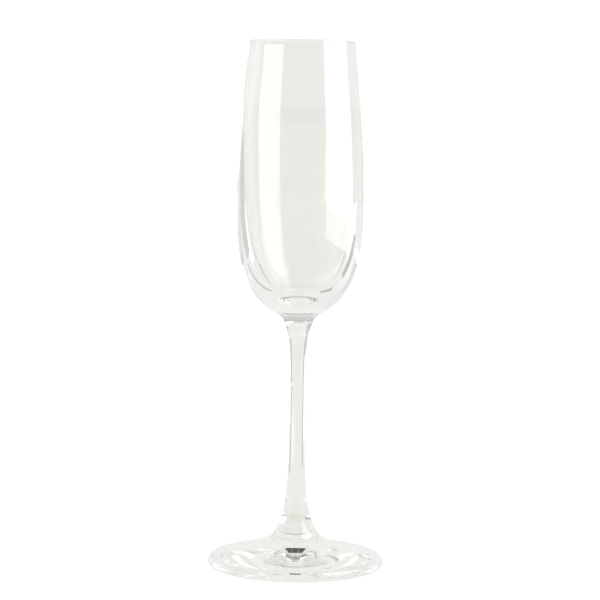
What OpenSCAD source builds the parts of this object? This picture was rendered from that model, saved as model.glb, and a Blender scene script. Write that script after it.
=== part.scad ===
// Champagne flute: a blown bowl, a drawn stem and a pressed foot, fused end to end.
// Millimetres, +Z up. The origin is on the table, under the middle of the foot.
// Every piece is a solid of revolution about Z, drawn as an outline of [radius, height] points.

/* [Flute] */
// Height from the table to the rim
flute_h = 225; // [215:1:235]

/* [Bowl] */
// Outside diameter at the rim
rim_d = 45.2; // [43:0.2:47]
// Thickness of the wall at the rim
rim_wall = 1.1; // [0.9:0.1:1.5]
// Largest outside diameter
belly_d = 54; // [52:0.2:57]
// Height of the largest outside diameter
belly_z = 153; // [150:1:158]
// Largest inside diameter
cavity_d = 49.4; // [47:0.2:50]
// Height of the largest inside diameter
cavity_z = 187; // [180:1:192]
// Height of the lowest point inside
cavity_floor_z = 116.5; // [115:0.5:120]

/* [Stem] */
// Height of the joint with the bowl
bowl_joint_z = 107; // [106:0.5:109]
// Diameter of the joint with the bowl
bowl_joint_d = 13.6; // [12:0.2:15]
// Diameter of the stem's slenderest part
waist_d = 6.5; // [6:0.1:7.4]
// Height of the stem's slenderest part
waist_z = 62; // [56:1:68]
// Height of the joint with the foot
foot_joint_z = 31; // [29:0.5:33]
// Diameter of the joint with the foot
foot_joint_d = 8.6; // [8:0.1:9.4]

/* [Foot] */
// Diameter of the foot
foot_d = 75.6; // [74:0.2:80]
// Height of the widest point of the rounded edge
edge_z = 1.6; // [1.4:0.1:2]
// Height of the top of the rounded edge
edge_top_z = 4.6; // [3.6:0.1:5]
// How far the rounded edge reaches in from the outside
edge_depth = 3; // [1.5:0.1:3.5]
// Inside diameter of the flat ring that the flute stands on
ring_d_in = 65; // [58:1:66]
// Outside diameter of the flat ring that the flute stands on
ring_d_out = 70.6; // [68:0.2:72]
// Rise of the hollow underside at its middle
hollow_rise = 3; // [1:0.5:4]

/* [Quality] */
// Straight steps in each curve of an outline
curve_steps = 20; // [8:1:40]

/* [Hidden] */
$fn = 96;

glass = [0.86, 0.89, 0.86, 0.45];

// Size of the fillet between the joint and the bottom of the bowl
neck_fillet = [3.8, 2.8];
// Radius and height at which the foot's disc turns up into the stem
flare = [11.2, 12.3];
// Direction of the outline there
flare_slope = [-4, 2.4];

// A smooth curve from a to b, which leaves a along u and reaches b along v. It starts just after a.
// The longer u or v is, the further the curve keeps to that direction.
function curve(a, u, b, v) = [
    for (i = [1 : curve_steps])
        let (t = i / curve_steps, s = 1 - t)
            s * s * s * a + 3 * s * s * t * (a + u) + 3 * s * t * t * (b - v) + t * t * t * b
];

// An elliptical arc about c, from angle a0 to a1. It starts just after a0.
function arc(c, rx, rz, a0, a1, steps = 10) = [
    for (i = [1 : steps])
        let (a = a0 + (a1 - a0) * i / steps)
            [c[0] + rx * cos(a), c[1] + rz * sin(a)]
];

module turned(outline) {
    rotate_extrude() polygon(outline);
}

// Thick, rounded bottom and a side that thins towards a narrower, fire-polished rim.
module bowl() {
    lip_r = rim_wall / 2;
    lip = [rim_d / 2 - lip_r, flute_h - lip_r];
    joint = [bowl_joint_d / 2, bowl_joint_z];
    neck = joint + neck_fillet;
    belly = [belly_d / 2, belly_z];
    outer_rim = lip + [lip_r, 0];
    inner_rim = lip - [lip_r, 0];
    cavity_belly = [cavity_d / 2, cavity_z];
    cavity_floor = [0, cavity_floor_z];
    color(glass) turned(concat(
        [[0, bowl_joint_z], joint],
        curve(joint, [0.35, 0.7], neck, [0.9, 0.5]),
        curve(neck, [7.8, 4.2], belly, [0, 30]),
        curve(belly, [0, 38], outer_rim, [-0.6, 15.6]),
        arc(lip, lip_r, lip_r, 0, 180),
        curve(inner_rim, [1.1, -16], cavity_belly, [0, -13]),
        curve(cavity_belly, [0, -61], cavity_floor, [-16, 0])
    ));
}

// Solid rod that flares into the bowl at the top and thickens towards the foot.
module stem() {
    top = [bowl_joint_d / 2, bowl_joint_z];
    waist = [waist_d / 2, waist_z];
    base = [foot_joint_d / 2, foot_joint_z];
    color(glass) turned(concat(
        [[0, foot_joint_z], base],
        curve(base, [-0.6, 7], waist, [0, 14]),
        curve(waist, [0, 33], top, [3.6, 7.6]),
        [[0, bowl_joint_z]]
    ));
}

// Disc with a rounded edge that rises into the stub of the stem. It stands on a flat ring round a
// shallow hollow.
module foot() {
    stub = [foot_joint_d / 2, foot_joint_z];
    edge_r = foot_d / 2;
    edge_top = [edge_r - edge_depth, edge_top_z];
    ring_in = [ring_d_in / 2, 0];
    ring_out = [ring_d_out / 2, 0];
    hollow = [0, hollow_rise];
    color(glass) turned(concat(
        [hollow],
        curve(hollow, [14, 0], ring_in, [12, 0]),
        [ring_out],
        arc([ring_out[0], edge_z], edge_r - ring_out[0], edge_z, -90, 0),
        arc([edge_top[0], edge_z], edge_depth, edge_top_z - edge_z, 0, 90),
        curve(edge_top, [-9, 0.8], flare, flare_slope),
        curve(flare, flare_slope, stub, [-0.6, 4.6]),
        [[0, foot_joint_z]]
    ));
}

bowl();
stem();
foot();
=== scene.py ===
import math

import bpy
import numpy as np
from mathutils import Matrix, Vector

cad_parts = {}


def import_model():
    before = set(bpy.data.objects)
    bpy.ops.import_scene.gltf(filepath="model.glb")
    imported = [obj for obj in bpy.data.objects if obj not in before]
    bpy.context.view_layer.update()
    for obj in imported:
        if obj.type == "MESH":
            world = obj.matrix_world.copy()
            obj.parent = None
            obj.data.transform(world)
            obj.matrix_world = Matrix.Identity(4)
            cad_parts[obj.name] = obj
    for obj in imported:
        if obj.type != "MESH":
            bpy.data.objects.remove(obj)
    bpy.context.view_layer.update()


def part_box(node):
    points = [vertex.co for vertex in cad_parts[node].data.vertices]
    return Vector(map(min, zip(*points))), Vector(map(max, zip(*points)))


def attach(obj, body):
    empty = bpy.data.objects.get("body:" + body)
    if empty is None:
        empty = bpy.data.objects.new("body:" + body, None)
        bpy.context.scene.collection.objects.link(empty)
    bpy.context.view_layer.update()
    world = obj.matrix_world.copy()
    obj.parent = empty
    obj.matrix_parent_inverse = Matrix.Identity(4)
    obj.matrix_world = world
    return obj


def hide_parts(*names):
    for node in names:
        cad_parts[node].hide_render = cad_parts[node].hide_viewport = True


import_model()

MM = 0.001

# ---------------------------------------------------------------- sizes, from the frame
flute_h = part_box("bowl")[1][2]
belly_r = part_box("bowl")[1][0]
bowl_joint_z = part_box("bowl")[0][2]
bowl_joint_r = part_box("stem")[1][0]
foot_joint_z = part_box("stem")[0][2]
foot_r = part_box("foot")[1][0]

# ---------------------------------------------------------------- sizes of the pieces' outlines
rim_r = 22.6 * MM
rim_wall = 1.1 * MM
belly_z = 153 * MM
cavity_r = 24.7 * MM
cavity_z = 187 * MM
cavity_floor_z = 116.5 * MM
neck_fillet = (3.8 * MM, 2.8 * MM)
stem_r = 3.25 * MM
waist_z = 62 * MM
foot_joint_r = 4.3 * MM
edge_z = 1.6 * MM
edge_top_z = 4.6 * MM
edge_depth = 3 * MM
ring_in_r = 32.5 * MM
ring_out_r = 35.3 * MM
hollow_rise = 3 * MM
# Where the foot's disc turns up into the stem, and the direction of the outline there
flare_r = 11.2 * MM
flare_z = 12.3 * MM
flare_slope = (-4, 2.4)

# Straight sides of a turned piece, and straight steps in a long and in a short curve of its outline
SEGMENTS = 224
STEPS = 48
SHORT_STEPS = 16

# The two ends of an outline, and the two material slots of a piece
FIRST, LAST = 0, -1
GLASS, FUSED = 0, 1

# A point of an outline nearer to the axis than this, in metres, is on it
ON_AXIS = 1e-9


def point(r, z):
    return np.array([r, z], float)


def curve(a, u, b, v, steps=STEPS):
    """Points of a smooth curve that leaves a along u and reaches b along v, both in millimetres.

    It starts just after a.
    """
    u, v = np.array(u) * MM, np.array(v) * MM
    t = np.arange(1, steps + 1)[:, None] / steps
    s = 1 - t
    return s**3 * a + 3 * s * s * t * (a + u) + 3 * s * t * t * (b - v) + t**3 * b


def arc(c, rx, rz, start, end, steps=SHORT_STEPS):
    """Points of an elliptical arc about c, between two angles in degrees. It starts just after the first."""
    a = np.radians(np.linspace(start, end, steps + 1)[1:])
    return np.stack([c[0] + rx * np.cos(a), c[1] + rz * np.sin(a)], 1)


def outline_normals(p):
    """Unit normals of an outline that is walked with the solid on its left."""
    tangent = np.gradient(p, axis=0)
    n = np.stack([tangent[:, 1], -tangent[:, 0]], 1)
    return n / np.linalg.norm(n, axis=1)[:, None]


def lathe(name, skin, caps):
    """A closed solid of revolution: the skin outline turned about Z, with a flat cap at each end in caps.

    A skin end on the axis closes to a point.
    """
    p, n = skin, outline_normals(skin)
    angles = 2 * math.pi * np.arange(SEGMENTS) / SEGMENTS
    ring = np.stack([np.cos(angles), np.sin(angles)], 1)
    verts, rows, faces, kinds = [], [], [], []
    for r, z in p:
        if r < ON_AXIS:
            rows.append([len(verts)] * SEGMENTS)
            verts.append((0, 0, z))
        else:
            rows.append(list(range(len(verts), len(verts) + SEGMENTS)))
            verts += [(r * c, r * s, z) for c, s in ring]
    loop_normals = []

    def add(corners, normals, kind):
        faces.append(corners)
        loop_normals.extend(normals)
        kinds.append(kind)

    def skin_normal(i, k):
        if p[i][0] < ON_AXIS:
            return (0, 0, math.copysign(1, n[i][1]))
        return (n[i][0] * ring[k][0], n[i][0] * ring[k][1], n[i][1])

    for i in range(len(p) - 1):
        for k in range(SEGMENTS):
            m = (k + 1) % SEGMENTS
            quad = [(i, k), (i, m), (i + 1, m), (i + 1, k)]
            if p[i][0] < ON_AXIS:
                quad = [quad[0], quad[2], quad[3]]
            elif p[i + 1][0] < ON_AXIS:
                quad = quad[:3]
            add([rows[a][b] for a, b in quad], [skin_normal(a, b) for a, b in quad], GLASS)
    for end in caps:
        z = p[end][1]
        up = 1 if end == LAST else -1
        centre = len(verts)
        verts.append((0, 0, z))
        for k in range(SEGMENTS):
            m = (k + 1) % SEGMENTS
            tri = [centre, rows[end][k], rows[end][m]]
            add(tri if up > 0 else tri[::-1], [(0, 0, up)] * 3, FUSED)
    mesh = bpy.data.meshes.new(name)
    mesh.from_pydata(verts, [], faces)
    mesh.polygons.foreach_set("material_index", kinds)
    mesh.polygons.foreach_set("use_smooth", [True] * len(faces))
    mesh.normals_split_custom_set(loop_normals)
    mesh.update()
    ob = bpy.data.objects.new(name, mesh)
    bpy.context.collection.objects.link(ob)
    return ob


# ---------------------------------------------------------------- materials
GLASS_IOR = 1.52
# Waves per metre of the haze along x, y and z, and its greatest roughness
HAZE_WAVES = (90, 90, 60)
HAZE = 0.025


def ramp(tree, source, start, end, low, high):
    n = tree.nodes.new("ShaderNodeMapRange")
    n.interpolation_type = "SMOOTHSTEP"
    n.inputs["From Min"].default_value = start
    n.inputs["From Max"].default_value = end
    n.inputs["To Min"].default_value = low
    n.inputs["To Max"].default_value = high
    tree.links.new(source, n.inputs["Value"])
    return n.outputs["Result"]


def times(tree, a, b):
    n = tree.nodes.new("ShaderNodeMath")
    n.operation = "MULTIPLY"
    tree.links.new(a, n.inputs[0])
    tree.links.new(b, n.inputs[1])
    return n.outputs[0]


def to_camera(tree, brightness, others):
    """A constant brightness for the rays that leave the camera, and the socket others for all other rays."""
    ray = tree.nodes.new("ShaderNodeLightPath")
    n = tree.nodes.new("ShaderNodeMapRange")
    n.inputs["To Max"].default_value = brightness
    tree.links.new(others, n.inputs["To Min"])
    tree.links.new(ray.outputs["Is Camera Ray"], n.inputs["Value"])
    return n.outputs["Result"]


def noise(tree, scale):
    """A smooth noise over the piece, with its own number of waves per metre along x, y and z."""
    coordinates = tree.nodes.new("ShaderNodeTexCoord")
    stretch = tree.nodes.new("ShaderNodeMapping")
    stretch.inputs["Scale"].default_value = scale
    pattern = tree.nodes.new("ShaderNodeTexNoise")
    pattern.inputs["Scale"].default_value = 1.0
    pattern.inputs["Detail"].default_value = 1.0
    tree.links.new(coordinates.outputs["Object"], stretch.inputs["Vector"])
    tree.links.new(stretch.outputs["Vector"], pattern.inputs["Vector"])
    return pattern.outputs["Fac"]


def glass_material(name, tint, waves, wave_height):
    """Clear glass with the faint waviness that shaping left in its skin, and a light haze of handling."""
    m = bpy.data.materials.new(name)
    m.use_nodes = True
    tree = m.node_tree
    b = tree.nodes["Principled BSDF"]
    b.inputs["Base Color"].default_value = (*tint, 1)
    b.inputs["IOR"].default_value = GLASS_IOR
    b.inputs["Transmission Weight"].default_value = 1.0
    skin = tree.nodes.new("ShaderNodeBump")
    skin.inputs["Strength"].default_value = 1.0
    skin.inputs["Distance"].default_value = wave_height
    tree.links.new(noise(tree, waves), skin.inputs["Height"])
    tree.links.new(skin.outputs["Normal"], b.inputs["Normal"])
    haze = ramp(tree, noise(tree, HAZE_WAVES), 0.4, 0.75, 0.0, HAZE)
    tree.links.new(haze, b.inputs["Roughness"])
    return m


def joint_material():
    """The fused faces between two pieces, which light crosses unchanged."""
    m = bpy.data.materials.new("fused_joint")
    m.use_nodes = True
    nodes, links = m.node_tree.nodes, m.node_tree.links
    nodes.clear()
    clear = nodes.new("ShaderNodeBsdfTransparent")
    out = nodes.new("ShaderNodeOutputMaterial")
    links.new(clear.outputs["BSDF"], out.inputs["Surface"])
    return m


# ---------------------------------------------------------------- pieces
def bowl_skin():
    lip_r = rim_wall / 2
    lip = point(rim_r - lip_r, flute_h - lip_r)
    joint = point(bowl_joint_r, bowl_joint_z)
    neck = joint + point(*neck_fillet)
    belly = point(belly_r, belly_z)
    outer_rim = lip + point(lip_r, 0)
    inner_rim = lip - point(lip_r, 0)
    cavity_belly = point(cavity_r, cavity_z)
    cavity_floor = point(0, cavity_floor_z)
    return np.concatenate([
        [joint],
        curve(joint, (0.35, 0.7), neck, (0.9, 0.5), SHORT_STEPS),
        curve(neck, (7.8, 4.2), belly, (0, 30)),
        curve(belly, (0, 38), outer_rim, (-0.6, 15.6)),
        arc(lip, lip_r, lip_r, 0, 180),
        curve(inner_rim, (1.1, -16), cavity_belly, (0, -13)),
        curve(cavity_belly, (0, -61), cavity_floor, (-16, 0), 2 * STEPS),
    ])


def stem_skin():
    top = point(bowl_joint_r, bowl_joint_z)
    waist = point(stem_r, waist_z)
    base = point(foot_joint_r, foot_joint_z)
    return np.concatenate([
        [base],
        curve(base, (-0.6, 7), waist, (0, 14)),
        curve(waist, (0, 33), top, (3.6, 7.6), 2 * STEPS),
    ])


def foot_skin():
    stub = point(foot_joint_r, foot_joint_z)
    edge = point(foot_r, edge_z)
    edge_top = point(foot_r - edge_depth, edge_top_z)
    ring_in = point(ring_in_r, 0)
    ring_out = point(ring_out_r, 0)
    flare = point(flare_r, flare_z)
    hollow = point(0, hollow_rise)
    return np.concatenate([
        [hollow],
        curve(hollow, (14, 0), ring_in, (12, 0)),
        [ring_out],
        arc((ring_out[0], edge_z), edge[0] - ring_out[0], edge_z, -90, 0),
        arc((edge_top[0], edge_z), edge[0] - edge_top[0], edge_top_z - edge_z, 0, 90),
        curve(edge_top, (-9, 0.8), flare, flare_slope),
        curve(flare, flare_slope, stub, (-0.6, 4.6)),
    ])


fused = joint_material()
pieces = (
    # node, outline, flat caps, tint, waves per metre along x, y and z, height of the waves
    ("bowl", bowl_skin(), [FIRST], (0.977, 0.985, 0.954), (110, 110, 35), 4e-6),
    ("stem", stem_skin(), [FIRST, LAST], (0.965, 0.975, 0.925), (700, 700, 20), 0.4e-6),
    ("foot", foot_skin(), [LAST], (0.965, 0.975, 0.925), (140, 140, 60), 2e-6),
)
for node, skin, caps, tint, waves, wave_height in pieces:
    piece = lathe(f"{node}_glass", skin, caps)
    piece.data.materials.append(glass_material(f"{node}_glass", tint, waves, wave_height))
    piece.data.materials.append(fused)
    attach(piece, "root")
    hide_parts(node)


# ---------------------------------------------------------------- camera
CAMERA_DISTANCE = 0.880
CAMERA_HEIGHT = 0.1925
PITCH = math.radians(5.04)
ROLL = math.radians(0.8)
AIM_X = 0.0005
LENS = 123.8
SENSOR = 36
camera_data = bpy.data.cameras.new("camera")
camera_data.lens = LENS
camera_data.sensor_width = SENSOR
camera = bpy.data.objects.new("camera", camera_data)
bpy.context.collection.objects.link(camera)
camera.location = (0, -CAMERA_DISTANCE, CAMERA_HEIGHT)
aim = Vector((AIM_X, 0, CAMERA_HEIGHT - CAMERA_DISTANCE * math.tan(PITCH)))
look = (aim - camera.location).to_track_quat("-Z", "Y").to_matrix()
camera.rotation_euler = (look @ Matrix.Rotation(ROLL, 3, "Z")).to_euler()
bpy.context.scene.camera = camera


# ---------------------------------------------------------------- stage and light
def towards(azimuth, distance):
    """A point of the table, in metres, at an azimuth in degrees from straight behind the flute.

    Azimuths to the right are positive.
    """
    a = math.radians(azimuth)
    return distance * math.sin(a), distance * math.cos(a)


def standing(start, end, low, high):
    """Corners of an upright panel over two points of the table."""
    return [(*start, low), (*end, low), (*end, high), (*start, high)]


def level(x, y, height):
    """Corners of a level panel, from two ranges."""
    return [(x[0], y[0], height), (x[1], y[0], height), (x[1], y[1], height), (x[0], y[1], height)]


def card(name, corners, brightness):
    """A flat panel that the camera doesn't see but the glass does: bright for a light, dark for a flag."""
    mesh = bpy.data.meshes.new(name)
    mesh.from_pydata(corners, [], [(0, 1, 2, 3)])
    ob = bpy.data.objects.new(name, mesh)
    bpy.context.collection.objects.link(ob)
    m = bpy.data.materials.new(name)
    m.use_nodes = True
    b = m.node_tree.nodes["Principled BSDF"]
    b.inputs["Base Color"].default_value = (0, 0, 0, 1)
    b.inputs["Specular IOR Level"].default_value = 0.0
    b.inputs["Emission Color"].default_value = (1, 1, 1, 1)
    b.inputs["Emission Strength"].default_value = brightness
    mesh.materials.append(m)
    ob.visible_camera = False
    ob.visible_shadow = False


softbox_front = (0.178, -0.172)
softbox_back = (0.168, 0.040)
skirt_back = (0.170, 0.0)
card("softbox", standing(softbox_front, softbox_back, 0.10, 0.42), 3.6)
card("softbox_skirt", standing(softbox_front, skirt_back, 0.04, 0.10), 1.2)

panels = (
    # name, distance, azimuths of the two sides, bottom, top, brightness
    ("strip_right_low", 0.065, 37, 50, 0.024, 0.070, 0.5),
    ("strip_right_high", 0.12, 38, 53, 0.065, 0.112, 0.5),
    ("strip_left_low", 0.10, -31, -38, 0.02, 0.10, 0.5),
    ("strip_left_high", 0.15, -33, -53, 0.085, 0.19, 0.6),
    ("fill_right", 0.30, 44, 64, 0.015, 0.09, 1.35),
    ("fill_left", 0.30, -44, -66, 0.0, 0.09, 1.15),
    ("reflector", 0.30, -95, -135, 0.0, 0.10, 1.15),
)
for name, distance, side_a, side_b, low, high, brightness in panels:
    card(name, standing(towards(side_a, distance), towards(side_b, distance), low, high), brightness)
card("canopy", level((-0.065, 0.065), (0.12, 0.33), 0.26), 0.08)

# Brightness of the floor and of the world behind it to the camera. The glass sees both a little
# less bright, which is how it stands out from the white round it.
BACKDROP = 1.05


def world():
    """A studio seen from inside, as the glass sees it: pale behind, dimmer in front and overhead."""
    w = bpy.data.worlds.new("studio")
    bpy.context.scene.world = w
    w.use_nodes = True
    tree = w.node_tree
    background = tree.nodes["Background"]
    coordinates = tree.nodes.new("ShaderNodeTexCoord")
    split = tree.nodes.new("ShaderNodeSeparateXYZ")
    tree.links.new(coordinates.outputs["Generated"], split.inputs[0])
    in_front, behind = 0.405, 0.9
    front_to_back = ramp(tree, split.outputs["Y"], -0.3, 0.3, in_front, behind)
    overhead = ramp(tree, split.outputs["Z"], 0.6, 0.9, 1.0, 0.9)
    strength = to_camera(tree, BACKDROP, times(tree, front_to_back, overhead))
    tree.links.new(strength, background.inputs["Strength"])
    background.inputs["Color"].default_value = (1, 1, 1, 1)


world()


FLOOR_HALF = 60
# A painted pool of light on the floor behind the flute, which only the glass sees: its middle, and its
# brightness and the floor's to the glass
POOL = (0.19, 0.30, 0)
PAINTED_POOL_GLOW = 0.978
FLOOR_GLOW = 0.85


def floor():
    """A pale light table, which glows, so that no shadow of the flute can be seen."""
    mesh = bpy.data.meshes.new("floor")
    s = FLOOR_HALF
    mesh.from_pydata([(-s, -s, 0), (s, -s, 0), (s, s, 0), (-s, s, 0)], [], [(0, 1, 2, 3)])
    ob = bpy.data.objects.new("floor", mesh)
    bpy.context.collection.objects.link(ob)
    m = bpy.data.materials.new("floor")
    m.use_nodes = True
    tree = m.node_tree
    b = tree.nodes["Principled BSDF"]
    b.inputs["Base Color"].default_value = (0.03, 0.03, 0.03, 1)
    b.inputs["Roughness"].default_value = 0.8
    b.inputs["Specular IOR Level"].default_value = 0.0
    b.inputs["Emission Color"].default_value = (1, 1, 1, 1)
    coordinates = tree.nodes.new("ShaderNodeTexCoord")
    pool = tree.nodes.new("ShaderNodeVectorMath")
    pool.operation = "DISTANCE"
    pool.inputs[1].default_value = POOL
    tree.links.new(coordinates.outputs["Object"], pool.inputs[0])
    # Painted pool of light: to the glass, the floor glows brighter round the pool's middle
    glow = ramp(tree, pool.outputs["Value"], 0.02, 0.20, PAINTED_POOL_GLOW, FLOOR_GLOW)
    tree.links.new(to_camera(tree, BACKDROP, glow), b.inputs["Emission Strength"])
    mesh.materials.append(m)


floor()

# Light is reflected many times inside thick glass, and is lost as black spots if it is cut short
GLASS_BOUNCES = 128
scene = bpy.context.scene
scene.view_settings.view_transform = "Standard"
scene.cycles.max_bounces = GLASS_BOUNCES
scene.cycles.transmission_bounces = GLASS_BOUNCES
scene.cycles.glossy_bounces = GLASS_BOUNCES
scene.cycles.diffuse_bounces = 3
scene.cycles.transparent_max_bounces = 64
scene.cycles.sample_clamp_indirect = 10
